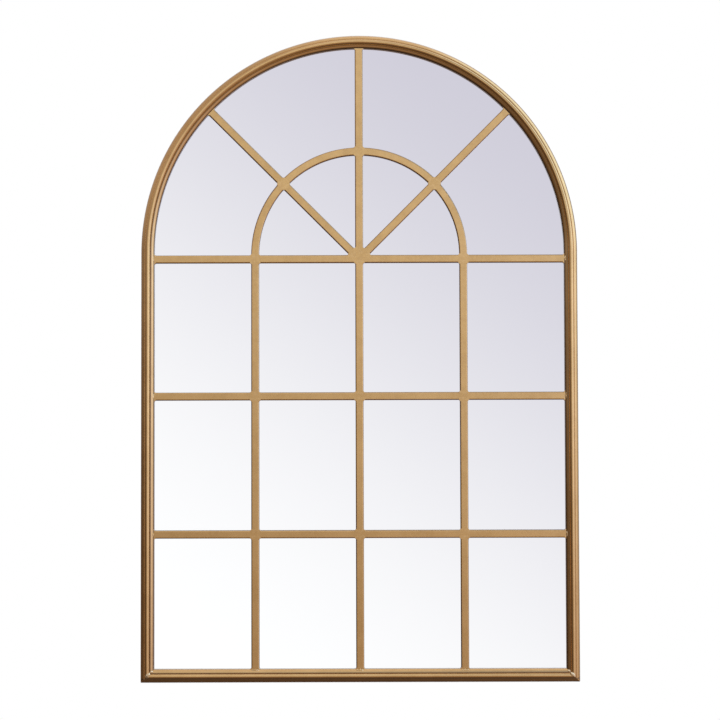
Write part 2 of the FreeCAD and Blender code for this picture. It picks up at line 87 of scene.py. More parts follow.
def angle(name, description, degrees):
    return bpy.props.FloatProperty(
        name=name, description=description, default=math.radians(degrees), subtype="ANGLE"
    )


def factor(name, description, default):
    return bpy.props.FloatProperty(
        name=name, description=description, default=default, subtype="FACTOR"
    )


def colour(name, description, default):
    return bpy.props.FloatVectorProperty(
        name=name, description=description, default=default, subtype="COLOR", size=3
    )


def place(name, description, default):
    return bpy.props.FloatVectorProperty(
        name=name, description=description, default=default, subtype="TRANSLATION", size=3, precision=4
    )


class FrameSizes(bpy.types.PropertyGroup):
    """Sizes of the moulded frame, in the CAD model's frame."""

    outer_radius: length("Outer radius", "Radius of the arched head's outer edge", ARCH_HIGH[X])
    bottom: length("Bottom", "Height of the frame's lower edge", RAIL_LOW[Z])
    back: length("Back", "Distance of the frame's back from the wall", -ARCH_HIGH[Y])
    crest: length("Crest", "Distance of the bead's crest from the wall", -ARCH_LOW[Y])
    lip_back: length("Lip back", "Distance of the lip's back from the wall", -TRANSOM_HIGH[Y])
    corner_round: length("Corner round", "Radius of the outer bottom corners", 2.5 * MM)
    slope_width: length("Slope width", "Width of the outer slope", 6.8 * MM)
    slope_drop: length("Slope drop", "How far the slope falls to the side", 7.0 * MM)
    slope_radius: length("Slope radius", "Radius of the slope's swell", 12.0 * MM)
    quirk_width: length("Quirk width", "Width of the groove on each side of the bead", 1.1 * MM)
    quirk_depth: length("Quirk depth", "Depth of the inner groove below the ledge", 1.0 * MM)
    outer_quirk_depth: length(
        "Outer quirk depth", "Depth of the outer groove below the slope's top", 0.5 * MM
    )
    bead_foot: length("Bead foot", "How far the bead's foot lies below the ledge", 0.4 * MM)
    bead_width: length("Bead width", "Width of the bead", 9.2 * MM)
    bead_rise: length("Bead rise", "How far the bead stands up from its foot", 3.2 * MM)
    ledge_width: length("Ledge width", "Width of the inner ledge", 6.8 * MM)
    ledge_radius: length("Ledge radius", "Radius of the ledge's swell", 11.5 * MM)
    lip_edge: length("Lip edge", "Height of the lip's straight edge", 2.9 * MM)
    chamber_width: length("Chamber width", "Width of the hollow part behind the lip", 15.0 * MM)
    edge_round: length("Edge round", "Softening of sharp edges under the paint", 0.25 * MM)


class WeldSizes(bpy.types.PropertyGroup):
    """Sizes of the ground welds of the grille and of the rough welds on the frame."""

    bar_half_width: length("Half bar", "Half the width of a bar", (TRANSOM_HIGH[Z] - TRANSOM_LOW[Z]) / 2)
    bar_front: length("Bar front", "Distance of the bars' front from the wall", -TRANSOM_LOW[Y])
    bar_back: length("Bar back", "Distance of the bars' back from the wall", -TRANSOM_HIGH[Y])
    bar_round: length("Bar round", "Radius of the bars' front edges", 2.4 * MM)
    proud: length("Proud", "How far a ground weld stands off the bars", 0.015 * MM)
    web: length("Web", "Leg of the webbed corner between two bars", 2.6 * MM)
    hub_web: length("Hub web", "Leg of the webbed corners at the hub", 4.0 * MM)
    bite: length("Bite", "How far a weld reaches over the bar that carries it", 5.4 * MM)
    bead_inset: length("Bead lump inset", "Inset of the weld on a mitre's bead", 14.6 * MM)
    bead_depth: length("Bead lump depth", "Distance of its middle from the wall", 24.7 * MM)
    bead_lump: place(
        "Bead lump", "Half its length along the mitre, height and width", (0.0062, 0.0022, 0.0040)
    )
    ledge_inset: length("Ledge lump inset", "Inset of the weld on a mitre's ledge", 20.6 * MM)
    ledge_depth: length("Ledge lump depth", "Distance of its middle from the wall", 21.9 * MM)
    ledge_lump: place(
        "Ledge lump", "Half its length along the mitre, height and width", (0.0036, 0.0018, 0.0027)
    )
    end_reach: length("End lump reach", "How far the weld at a bar's end lies on the ledge", 2.4 * MM)
    end_rise: length("End lump rise", "How far its middle stands off the bars' front", 1.1 * MM)
    end_lump: place(
        "End lump", "Half its length across the bar, height and width", (0.0078, 0.0011, 0.0029)
    )
    end_share: factor(
        "End share", "Size of the welds at the cross bars' ends against those at the feet", 0.75
    )


class BumperSizes(bpy.types.PropertyGroup):
    """Sizes of the rubber wall bumpers."""

    inset: length("Inset", "Distance of a bumper's middle from the frame's outer edge", 7.5 * MM)
    arch_angle: angle("Arch angle", "Where the upper bumpers sit on the arch", 67.5)
    rise: length("Rise", "Height of the lower bumpers above the frame's bottom", 40.0 * MM)
    radius: length("Radius", "Radius at the frame", 6.0 * MM)
    wall_radius: length("Wall radius", "Radius at the wall", 5.0 * MM)
    edge_round: length("Edge round", "Radius of the rim at the wall", 1.2 * MM)
    dimple_radius: length("Dimple radius", "Radius of the suction dimple", 2.6 * MM)
    dimple_depth: length("Dimple depth", "Depth of the suction dimple", 0.7 * MM)


class MetalColours(bpy.types.PropertyGroup):
    """Colours of the painted metal, in linear light."""

    gold: colour("Gold", "Brass paint where it lies thick", (0.615, 0.370, 0.128))
    gold_deep: colour("Deep gold", "Brass paint where it lies thin", (0.560, 0.330, 0.108))
    gold_weld: colour("Weld gold", "Brass paint over a ground weld", (0.650, 0.405, 0.155))
    # Painted shade: the dark gold laid in the grooves, along the lip and on the frame's and bars' sides,
    # where shade falls
    gold_painted_shade: colour(
        "Thin gold", "Brass paint where the spray met the metal at a slant", (0.190, 0.108, 0.037)
    )
    weld_pale: colour("Pale weld", "Bare polished weld metal", (0.960, 0.800, 0.500))
    weld_dull: colour("Dull weld", "Weld metal under thin paint", (0.620, 0.420, 0.200))
    weld_spot: colour("Weld spot", "Spots in the paint over a ground weld", (0.740, 0.490, 0.210))
    weld_fleck: colour("Weld fleck", "Pale flecks in the paint over a rough weld", (0.960, 0.760, 0.440))
    zinc: colour("Zinc", "Zinc plate of the hardware", (0.560, 0.570, 0.580))
    zinc_dark: colour("Dark zinc", "Darker grains of the zinc plate", (0.390, 0.400, 0.420))
    silver: colour("Silver", "Silvering of the mirror", (0.955, 0.960, 0.965))
    dust: colour("Dust", "Trace of dust on the mirror", (0.800, 0.800, 0.800))


class BackColours(bpy.types.PropertyGroup):
    """Colours of the board, tape and rubber behind the glass, in linear light."""

    board: colour("Board", "Body of the fibreboard", (0.330, 0.205, 0.108))
    board_fleck: colour("Board fleck", "Pale fibres in the board", (0.480, 0.335, 0.190))
    board_dark: colour("Board grain", "Dark bark grains in the board", (0.170, 0.098, 0.050))
    foam: colour("Foam", "Skin of the foam tape", (0.045, 0.045, 0.048))
    foam_cell: colour("Foam cell", "Open cells of the foam tape", (0.018, 0.018, 0.020))
    rubber: colour("Rubber", "Body of the bumpers", (0.035, 0.034, 0.033))
    rubber_dust: colour("Rubber dust", "Bloom on the bumpers", (0.085, 0.083, 0.080))


class StageSettings(bpy.types.PropertyGroup):
    """Camera, studio light and floor."""

    camera_place: place("Camera", "Where the camera stands", (0.0024, -2.8069, -0.2881))
    camera_pitch: angle("Pitch", "How far the camera looks up", 1.78)
    camera_yaw: angle("Yaw", "How far the camera looks to the left", 0.034)
    camera_roll: angle("Roll", "How far the camera leans to the right", 0.159)
    lens: bpy.props.FloatProperty(name="Lens", description="Focal length", default=75.0, unit="CAMERA")
    floor_height: length("Floor", "Height of the floor", -1.7)
    floor_radius: length("Floor radius", "Where the floor has faded out", 3.2)
    floor_colour: colour("Floor colour", "Pale floor", (0.84, 0.84, 0.85))
    floor_grain: colour("Floor grain", "Darker grain of the floor", (0.70, 0.70, 0.70))
    card_pale: colour("Card pale", "What the mirror shows at its lower left", (1.05, 1.05, 1.05))
    card_cool: colour("Card cool", "What the mirror shows at its upper right", (0.650, 0.632, 0.720))
    front_low: colour("Front low", "Studio in front, below the horizon", (0.50, 0.38, 0.33))
    front_high: colour("Front high", "Studio in front, above the horizon", (1.12, 1.19, 1.30))
    right_low: colour("Right low", "Studio on the right, below the horizon", (0.74, 0.64, 0.76))
    right_high: colour("Right high", "Studio on the right, above the horizon", (1.67, 1.94, 2.77))
    left_low: colour("Left low", "Dark side of the studio, below the horizon", (0.14, 0.10, 0.08))
    left_high: colour("Left high", "Dark side of the studio, above the horizon", (0.61, 0.56, 0.61))
    room_top: colour("Room top", "Ceiling of the studio", (1.02, 1.03, 1.18))
    room_below: colour("Room below", "Dark floor that the paint sees", (0.11, 0.08, 0.075))
    room_edge: colour("Room edge", "Studio just behind the mirror's plane", (0.48, 0.47, 0.55))
    room_behind: colour("Room behind", "Studio behind the mirror", (0.95, 0.95, 0.95))
    shade: colour("Shade", "Dark flag in front of the lamp", (0.54, 0.62, 0.90))
    lamp: colour("Lamp", "Lamp high on the right", (1.45, 1.90, 2.70))


def stored(context, name):
    return getattr(context.scene, "window_mirror_" + name)


# Modelling in edit mode


def deselect_all():
    if bpy.context.object is not None and bpy.context.object.mode != "OBJECT":
        bpy.ops.object.mode_set(mode="OBJECT")
    bpy.ops.object.select_all(action="DESELECT")


def select_only(*pieces):
    deselect_all()
    for piece in pieces:
        piece.select_set(True)
    bpy.context.view_layer.objects.active = pieces[0]


def edit(piece):
    select_only(piece)
    bpy.ops.object.mode_set(mode="EDIT")
    bpy.ops.mesh.select_all(action="SELECT")


def leave_edit():
    bpy.ops.object.mode_set(mode="OBJECT")


def named(piece, name):
    piece.name = name
    piece.data.name = name
    return piece


def start_outline(name, point):
    """A new mesh of one selected vertex, left in edit mode with its object at the origin."""
    deselect_all()
    bpy.ops.mesh.primitive_plane_add(size=MM)
    piece = named(bpy.context.object, name)
    bpy.ops.object.mode_set(mode="EDIT")
    bpy.ops.mesh.select_mode(type="VERT")
    bpy.ops.mesh.select_all(action="SELECT")
    bpy.ops.mesh.merge(type="CENTER")
    bpy.ops.transform.translate(value=point)
    return piece


def spin(turn, centre, axis, steps):
    """Turns the selection by the right-hand rule. Spin itself turns the other way."""
    bpy.ops.mesh.spin(steps=steps, angle=turn, center=centre, axis=-Vector(axis))


def merge_points(gap):
    bpy.ops.mesh.select_all(action="SELECT")
    bpy.ops.mesh.remove_doubles(threshold=gap)


def draw_outline(name, strokes, origin, across, outward):
    """A closed outline of lines and arcs, left in edit mode.

    Each stroke is an end point, or one with a radius and the arc's steps. A positive radius swells to
    the left of the way the pen goes, and a negative one to the right.
    """
    def point(pair):
        return Vector(origin) + across * pair[0] + outward * pair[1]

    axis = across.cross(outward)
    here = Vector(strokes[0])
    piece = start_outline(name, point(here))
    for stroke in strokes[1:] + strokes[:1]:
        there = Vector(stroke[:2])
        if len(stroke) == 2:
            offset = point(there) - point(here)
            bpy.ops.mesh.extrude_vertices_move(TRANSFORM_OT_translate={"value": offset})
        else:
            radius, steps = stroke[2:]
            chord = there - here
            half = chord.length / 2
            swell = Vector((chord.y, -chord.x)).normalized() * math.copysign(1, radius)
            centre = (here + there) / 2 + swell * math.sqrt(max(radius * radius - half * half, 0.0))
            turn = -2 * math.asin(min(half / abs(radius), 1.0)) * math.copysign(1, radius)
            spin(turn, point(centre), axis, steps)
        here = there
    merge_points(MERGE_GAP)
    return piece


def extrude(offset):
    bpy.ops.mesh.extrude_region_move(TRANSFORM_OT_translate={"value": offset})


def cut_away(point, normal):
    """Cuts off what lies on the side that the normal points to, and closes the cut."""
    bpy.ops.mesh.select_all(action="SELECT")
    bpy.ops.mesh.bisect(
        plane_co=point, plane_no=normal, use_fill=True, clear_outer=True, threshold=CUT_GAP
    )


def face_outwards():
    bpy.ops.mesh.select_all(action="SELECT")
    bpy.ops.mesh.normals_make_consistent(inside=False)


def apply_modifier(piece, kind, **settings):
    select_only(piece)
    bpy.ops.object.modifier_add(type=kind)
    modifier = piece.modifiers[-1]
    for setting, value in settings.items():
        setattr(modifier, setting, value)
    bpy.ops.object.modifier_apply(modifier=modifier.name)


def mirror_halves(piece):
    """Adds the other half of a piece across the mirror's middle plane."""
    apply_modifier(
        piece, "MIRROR", use_axis=(True, False, False), use_mirror_merge=True, merge_threshold=SEAM_GAP
    )
    edit(piece)
    face_outwards()
    leave_edit()


def smooth(piece, limit):
    select_only(piece)
    bpy.ops.object.shade_smooth_by_angle(angle=math.radians(limit))


def keep_faces_flat(piece):
    """Lets broad faces keep their own normals, so that only rounded edges shade as curves."""
    apply_modifier(piece, "WEIGHTED_NORMAL", mode="FACE_AREA", weight=100, keep_sharp=True)


def copied(pattern, at, turn=0.0):
    """A copy with its own mesh, turned about the Y axis and moved, with its place in its mesh."""
    select_only(pattern)
    bpy.ops.object.duplicate()
    piece = bpy.context.object
    piece.rotation_euler = Euler((0, turn, 0))
    piece.location = at
    bpy.ops.object.transform_apply(location=True, rotation=True, scale=True)
    return piece


def joined(name, pieces):
    select_only(*pieces)
    bpy.ops.object.join()
    return named(bpy.context.object, name)


def remove(piece):
    select_only(piece)
    bpy.ops.object.delete()


def finish_piece(piece, slot, material, *nodes):
    piece.data.materials.clear()
    piece.data.materials.append(material)
    if nodes:
        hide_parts(*nodes)
    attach(piece, BODY)


# Finishes

NOISE_LOW, NOISE_HIGH = 0.3, 0.7        # What most of a noise lies between

# Where the brass paint is darkened with painted shade: distances from a groove's middle and from the
# lip's edge, the depths between which it fades on the frame's sides, and distances behind the bars'
# fronts
INNER_GROOVE_SHADE = (0.4 * MM, 1.2 * MM)
OUTER_GROOVE_SHADE = (0.3 * MM, 1.6 * MM)
LIP_SHADE = (4.2 * MM, 2.2 * MM)
FRAME_SIDE_SHADE = (-18.6 * MM, -16.6 * MM)
BAR_SIDE_SHADE = (0.1 * MM, 1.0 * MM)
INNER_GROOVE_SHARE = 0.95


def add_node(tree, kind, inputs=None, **settings):
    node = tree.nodes.new("ShaderNode" + kind)
    for setting, value in settings.items():
        setattr(node, setting, value)
    for socket, value in (inputs or {}).items():
        if isinstance(value, bpy.types.NodeSocket):
            tree.links.new(value, node.inputs[socket])
        else:
            node.inputs[socket].default_value = value
    return node


def object_coordinates(tree):
    return add_node(tree, "TexCoord").outputs["Object"]


def noise(tree, coordinates, scale, detail, distortion=0.0):
    inputs = {"Vector": coordinates, "Scale": scale, "Detail": detail, "Distortion": distortion}
    return add_node(tree, "TexNoise", inputs).outputs[0]


def ramp(tree, value, low, high, to_low=0.0, to_high=1.0):
    inputs = {"Value": value, "From Min": low, "From Max": high, "To Min": to_low, "To Max": to_high}
    return add_node(tree, "MapRange", inputs, interpolation_type="SMOOTHSTEP").outputs[0]


def between(tree, grain, low, high):
    """Goes from low to high as a noise goes over its usual span."""
    return ramp(tree, grain, NOISE_LOW, NOISE_HIGH, low, high)


def maths(tree, operation, first, second=0.0):
    return add_node(tree, "Math", {0: first, 1: second}, operation=operation).outputs[0]


def rgba(value):
    return value if isinstance(value, bpy.types.NodeSocket) else (*value[:3], 1.0)


def blend(tree, factor, first, second):
    inputs = {0: factor, 6: rgba(first), 7: rgba(second)}
    return add_node(tree, "Mix", inputs, data_type="RGBA").outputs[2]


def bump(tree, height, distance, strength, normal=None):
    inputs = {"Height": height, "Distance": distance, "Strength": strength}
    if normal is not None:
        inputs["Normal"] = normal
    return add_node(tree, "Bump", inputs).outputs[0]


def new_material(name):
    material = bpy.data.materials.new(name)
    if material.name != name:
        raise RuntimeError(f"The packed model already has a finish named {name}")
    material.use_nodes = True
    return material, material.node_tree, material.node_tree.nodes["Principled BSDF"]


def set_shader(tree, shader, **sockets):
    for name, value in sockets.items():
        socket = shader.inputs[name.replace("_", " ")]
        if isinstance(value, bpy.types.NodeSocket):
            tree.links.new(value, socket)
        elif isinstance(value, (int, float)):
            socket.default_value = value
        else:
            socket.default_value = rgba(value)


def brass_paint(tree, shader, colours, spots, painted_shade, rough_low, rough_high):
    """Satin brass paint under a clear coat, with spots, flakes and orange peel, and painted shade where
    the given mask is high.
    """
    coordinates = object_coordinates(tree)
    drift = ramp(tree, noise(tree, coordinates, scale=26.0, detail=3.0), 0.35, 0.65)
    mottle = ramp(tree, noise(tree, coordinates, scale=240.0, detail=3.0, distortion=0.4), 0.38, 0.66)
    gold = blend(tree, drift, colours.gold, colours.gold_deep)
    gold = blend(tree, maths(tree, "MULTIPLY", mottle, 0.35), gold, spots)
    flakes = noise(tree, coordinates, scale=3200.0, detail=1.0)
    gold = blend(tree, ramp(tree, flakes, 0.60, 0.74, 0.0, 0.30), gold, colours.gold_weld)
    # Painted shade: blends towards the dark gold where the mask marks grooves, the lip and the sides
    gold = blend(tree, painted_shade, gold, colours.gold_painted_shade)
    haze = noise(tree, coordinates, scale=90.0, detail=2.0)
    peel = noise(tree, coordinates, scale=430.0, detail=2.0)
    surface = bump(tree, peel, distance=0.012 * MM, strength=0.25)
    surface = bump(tree, flakes, distance=0.003 * MM, strength=0.25, normal=surface)
    set_shader(
        tree, shader,
        Base_Color=gold,
        Metallic=1.0,
        Roughness=between(tree, haze, rough_low, rough_high),
        Coat_Weight=0.8,
        Coat_Roughness=0.10,
        Normal=surface,
    )


def frame_paint(colours, sizes):
    """Brass paint with painted shade on the frame's sides, in its grooves and along the lip of the
    jambs.
    """
    _, tree, shader = new_material("brass_frame")
    x, y, z = add_node(tree, "SeparateXYZ", {0: object_coordinates(tree)}).outputs
    upper = maths(tree, "MAXIMUM", z, 0.0)
    reach = add_node(tree, "CombineXYZ", {"X": x, "Z": upper}).outputs[0]
    radius = add_node(tree, "VectorMath", {0: reach}, operation="LENGTH").outputs["Value"]
    from_side = maths(tree, "SUBTRACT", sizes.outer_radius, radius)
    from_bottom = maths(tree, "SUBTRACT", z, sizes.bottom)
    inset = maths(tree, "MINIMUM", from_side, from_bottom)
    groove = sizes.slope_width + sizes.quirk_width + sizes.bead_width + sizes.quirk_width * 1.5
    lip = groove + sizes.quirk_width / 2 + sizes.ledge_width
    from_groove = maths(tree, "ABSOLUTE", maths(tree, "SUBTRACT", inset, groove))
    # Painted shade in the inner groove, along the jambs' lip, in the outer groove and on the frame's
    # sides
    painted_shade = ramp(tree, from_groove, *INNER_GROOVE_SHADE, INNER_GROOVE_SHARE, 0.0)
    on_side = maths(tree, "LESS_THAN", from_side, from_bottom)
    by_lip = ramp(tree, inset, lip - LIP_SHADE[0], lip - LIP_SHADE[1])
    by_lip = maths(tree, "MULTIPLY", on_side, by_lip)
    painted_shade = maths(tree, "MAXIMUM", painted_shade, by_lip)
    outer_groove = sizes.slope_width + sizes.quirk_width / 2
    from_outer = maths(tree, "ABSOLUTE", maths(tree, "SUBTRACT", from_bottom, outer_groove))
    painted_shade = maths(tree, "MAXIMUM", painted_shade, ramp(tree, from_outer, *OUTER_GROOVE_SHADE, 1.0, 0.0))
    painted_shade = maths(tree, "MAXIMUM", painted_shade, ramp(tree, y, *FRAME_SIDE_SHADE))
    brass_paint(tree, shader, colours, colours.gold_weld, painted_shade, rough_low=0.17, rough_high=0.22)


def bar_paint(name, colours, spots, sizes):
    """Brass paint with painted shade on the bars' sides."""
    _, tree, shader = new_material(name)
    y = add_node(tree, "SeparateXYZ", {0: object_coordinates(tree)}).outputs[Y]
    # Painted shade on the bars' sides, just behind their fronts
    painted_shade = ramp(tree, y, -sizes.bar_front + BAR_SIDE_SHADE[0], -sizes.bar_front + BAR_SIDE_SHADE[1])
    brass_paint(tree, shader, colours, spots, painted_shade, rough_low=0.24, rough_high=0.30)


def weld_paint(colours):
    """Brass paint over a rough weld, broken by pale flecks."""
    _, tree, shader = new_material("weld_paint")
    coordinates = object_coordinates(tree)
    flecks = ramp(tree, noise(tree, coordinates, scale=520.0, detail=3.0, distortion=0.5), 0.46, 0.62)
    grain = noise(tree, coordinates, scale=1400.0, detail=2.0)
    set_shader(
        tree, shader,
        Base_Color=blend(tree, flecks, colours.gold_deep, colours.weld_fleck),
        Metallic=1.0,
        Roughness=between(tree, grain, 0.30, 0.42),
        Normal=bump(tree, flecks, distance=0.05 * MM, strength=0.4),
    )


def weld_metal(colours):
    """Rough weld metal, polished bright on its high spots, with paint in its hollows."""
    _, tree, shader = new_material("weld_metal")
    coordinates = object_coordinates(tree)
    worn = ramp(tree, noise(tree, coordinates, scale=420.0, detail=3.0, distortion=0.6), 0.40, 0.60)
    grain = noise(tree, coordinates, scale=1500.0, detail=2.0)
    set_shader(
        tree, shader,
        Base_Color=blend(tree, worn, colours.weld_dull, colours.weld_pale),
        Metallic=1.0,
        Roughness=ramp(tree, worn, 0.0, 1.0, 0.42, 0.26),
        Normal=bump(tree, grain, distance=0.06 * MM, strength=0.5),
    )


def silvered_glass(colours):
    """Clear silvering with a trace of dust."""
    _, tree, shader = new_material("silvered_glass")
    coordinates = object_coordinates(tree)
    dust = ramp(tree, noise(tree, coordinates, scale=900.0, detail=2.0), 0.70, 0.82, 0.0, 0.05)
    set_shader(
        tree, shader,
        Base_Color=blend(tree, dust, colours.silver, colours.dust),
        Metallic=1.0,
        Roughness=0.0,
    )


def zinc_plate(name, colours, scale, rough_low, rough_high):
    """Bright zinc plate with its grains and fine drawing marks."""
    _, tree, shader = new_material(name)
    coordinates = object_coordinates(tree)
    grains = add_node(tree, "TexVoronoi", {"Vector": coordinates, "Scale": scale}).outputs["Color"]
    tone = add_node(tree, "SeparateColor", {0: grains}).outputs[0]
    wear = noise(tree, coordinates, scale=700.0, detail=3.0)
    set_shader(
        tree, shader,
        Base_Color=blend(tree, ramp(tree, tone, 0.0, 1.0, 0.0, 0.6), colours.zinc, colours.zinc_dark),
        Metallic=1.0,
        Roughness=between(tree, wear, rough_low, rough_high),
        Normal=bump(tree, wear, distance=0.02 * MM, strength=0.4),
    )


def fibreboard(colours):
    """Hardboard with pale fibres, dark grains and a faint press pattern."""
    _, tree, shader = new_material("pressed_board")
    coordinates = object_coordinates(tree)
    stretched = add_node(tree, "Mapping", {"Vector": coordinates, "Scale": (1.0, 1.0, 4.0)}).outputs[0]
    fibres = ramp(tree, noise(tree, stretched, scale=420.0, detail=4.0, distortion=1.5), 0.54, 0.70)
    grains = ramp(tree, noise(tree, coordinates, scale=800.0, detail=2.0), 0.64, 0.74)
    clouds = ramp(tree, noise(tree, coordinates, scale=6.0, detail=5.0), 0.30, 0.70, 0.0, 0.28)
    base = blend(tree, clouds, colours.board, colours.board_dark)
    base = blend(tree, maths(tree, "MULTIPLY", fibres, 0.55), base, colours.board_fleck)
    base = blend(tree, maths(tree, "MULTIPLY", grains, 0.8), base, colours.board_dark)
    press = noise(tree, coordinates, scale=1300.0, detail=3.0)
    surface = bump(tree, press, distance=0.08 * MM, strength=0.5)
    surface = bump(tree, fibres, distance=0.05 * MM, strength=0.4, normal=surface)
    set_shader(
        tree, shader,
        Base_Color=base,
        Roughness=between(tree, press, 0.62, 0.82),
        Specular_IOR_Level=0.2,
        Normal=surface,
    )


def foam_skin(colours):
    """Closed foam tape with fine cells."""
    _, tree, shader = new_material("foam_skin")
    coordinates = object_coordinates(tree)
    cells = add_node(tree, "TexVoronoi", {"Vector": coordinates, "Scale": 1500.0}).outputs["Distance"]
    open_cell = ramp(tree, cells, 0.15, 0.5, 1.0, 0.0)
    set_shader(
        tree, shader,
        Base_Color=blend(tree, open_cell, colours.foam, colours.foam_cell),
        Roughness=ramp(tree, cells, 0.0, 0.6, 0.95, 0.75),
        Normal=bump(tree, cells, distance=0.15 * MM, strength=0.6),
    )


def moulded_rubber(colours):
    """Moulded rubber with a matt grain and a little bloom."""
    _, tree, shader = new_material("moulded_rubber")
    coordinates = object_coordinates(tree)
    bloom = ramp(tree, noise(tree, coordinates, scale=260.0, detail=3.0), 0.45, 0.75, 0.0, 0.6)
    grain = noise(tree, coordinates, scale=2400.0, detail=2.0)
    set_shader(
        tree, shader,
        Base_Color=blend(tree, bloom, colours.rubber, colours.rubber_dust),
        Roughness=between(tree, grain, 0.55, 0.75),
        Normal=bump(tree, grain, distance=0.04 * MM, strength=0.5),
    )


def finishes(context):
    """The finishes by name, made once."""
    if "brass_frame" not in bpy.data.materials:
        metal = stored(context, "metal")
        back = stored(context, "back")
        frame_paint(metal, stored(context, "frame"))
        bar_paint("brass_bar", metal, metal.gold_weld, stored(context, "weld"))
        bar_paint("ground_weld", metal, metal.weld_spot, stored(context, "weld"))
        weld_paint(metal)
        weld_metal(metal)
        silvered_glass(metal)
        zinc_plate("bright_zinc", metal, scale=900.0, rough_low=0.26, rough_high=0.40)
        zinc_plate("screw_zinc", metal, scale=1600.0, rough_low=0.22, rough_high=0.34)
        fibreboard(back)
        foam_skin(back)
        moulded_rubber(back)
    return bpy.data.materials


# Operators


class WINDOW_MIRROR_OT_stage(bpy.types.Operator):
    """Sets up the camera, the studio light and the pale floor"""

    bl_idname = "window_mirror.stage"
    bl_label = "Stage"

    sensor_width = 36.0
    # Heights between which the studio goes from its lower to its upper colour
    front_horizon = (-0.30, 0.22)
    left_horizon = (-0.10, 0.35)
    # Soft patches of the studio in the order they are laid: the colour, the direction of the middle, and
    # the angles from it within which the patch is full and beyond which it is gone
    patches = (
        ("right", (0.70, -0.71, 0.00), 12, 43),
        ("room_edge", (0.00, 1.00, 0.00), 58, 90),
        ("room_top", (-0.17, 0.00, 0.98), 25, 70),
        ("left", (-1.00, 0.00, 0.00), 45, 96),
        ("room_below", (-0.30, 0.05, -0.95), 15, 66),
        ("room_behind", (0.00, 1.00, 0.00), 25, 45),
        ("shade", (0.42, -0.75, 0.50), 14, 32),
        ("lamp", (0.88, -0.09, 0.46), 10, 30),
        ("lamp", (0.64, -0.09, 0.77), 8, 26),
    )
    # The way the card darkens, across and up, where it starts and ends, and the bounces after which a
    # mirrored ray shows the studio instead
    card_slant = (0.59, 0.81)
    card_span = (-0.20, 0.26)
    glass_depth = 2.5
    backdrop = (1.0, 1.0, 1.0)
    floor_sides = 96
    floor_fade = 0.45

    def execute(self, context):
        settings = stored(context, "stage")
        self.add_camera(context, settings)
        self.add_surround(context, settings)
        self.add_floor(settings)
        context.scene.view_settings.view_transform = "Standard"
        return {"FINISHED"}

    def add_camera(self, context, settings):
        deselect_all()
        bpy.ops.object.camera_add()
        camera = bpy.context.object
        camera.name = "camera"
        camera.data.lens = settings.lens
        camera.data.sensor_width = self.sensor_width
        turned = (
            Matrix.Rotation(settings.camera_roll, 4, "Y")
            @ Matrix.Rotation(settings.camera_pitch, 4, "X")
            @ Matrix.Rotation(settings.camera_yaw, 4, "Z")
            @ Matrix.Rotation(QUARTER, 4, "X")
        )
        camera.matrix_world = Matrix.Translation(settings.camera_place) @ turned
        context.scene.camera = camera

    def add_surround(self, context, settings):
        """A studio that lights the paint from the upper right, and a card that the glass shows."""
        world = bpy.data.worlds.new("studio")
        context.scene.world = world
        world.use_nodes = True
        tree = world.node_tree
        direction = add_node(tree, "TexCoord").outputs["Generated"]
        x, _, z = add_node(tree, "SeparateXYZ", {0: direction}).outputs
        front = ramp(tree, z, *self.front_horizon)
        side = ramp(tree, z, *self.left_horizon)
        tones = {
            "right": blend(tree, front, settings.right_low, settings.right_high),
            "left": blend(tree, side, settings.left_low, settings.left_high),
        }
        room = blend(tree, front, settings.front_low, settings.front_high)
        for name, middle, full, gone in self.patches:
            tone = tones[name] if name in tones else getattr(settings, name)
            inputs = {0: direction, 1: Vector(middle).normalized()}
            near = add_node(tree, "VectorMath", inputs, operation="DOT_PRODUCT").outputs["Value"]
            inside = ramp(tree, near, math.cos(math.radians(gone)), math.cos(math.radians(full)))
            room = blend(tree, inside, room, tone)
        across, up = self.card_slant
        slant = maths(tree, "ADD", maths(tree, "MULTIPLY", x, across), maths(tree, "MULTIPLY", z, up))
        card = blend(tree, ramp(tree, slant, *self.card_span), settings.card_pale, settings.card_cool)
        path = add_node(tree, "LightPath").outputs
        straight = maths(tree, "LESS_THAN", path["Ray Depth"], self.glass_depth)
        seen = blend(tree, maths(tree, "MULTIPLY", path["Is Singular Ray"], straight), room, card)
        seen = blend(tree, path["Is Camera Ray"], seen, self.backdrop)
        tree.links.new(seen, tree.nodes["Background"].inputs["Color"])

    def add_floor(self, settings):
        """A round pale floor that fades out at its edge."""
        deselect_all()
        bpy.ops.mesh.primitive_circle_add(
            vertices=self.floor_sides, radius=settings.floor_radius, fill_type="NGON",
            location=(0, 0, settings.floor_height),
        )
        floor = named(bpy.context.object, "floor")
        bpy.ops.object.transform_apply(location=True, rotation=True, scale=True)
        material, tree, shader = new_material("pale_floor")
        coordinates = object_coordinates(tree)
        inputs = {0: coordinates, 1: (1.0, 1.0, 0.0)}
        level = add_node(tree, "VectorMath", inputs, operation="MULTIPLY").outputs[0]
        spread = add_node(tree, "VectorMath", {0: level}, operation="LENGTH").outputs["Value"]
        grain = noise(tree, coordinates, scale=60.0, detail=3.0)
        faint = between(tree, grain, 0.0, 0.08)
        fade_start = settings.floor_radius * self.floor_fade
        set_shader(
            tree, shader,
            Base_Color=blend(tree, faint, settings.floor_colour, settings.floor_grain),
            Roughness=between(tree, grain, 0.75, 0.85),
            Alpha=ramp(tree, spread, fade_start, settings.floor_radius, 1.0, 0.0),
        )
        floor.data.materials.append(material)
        floor.visible_glossy = False


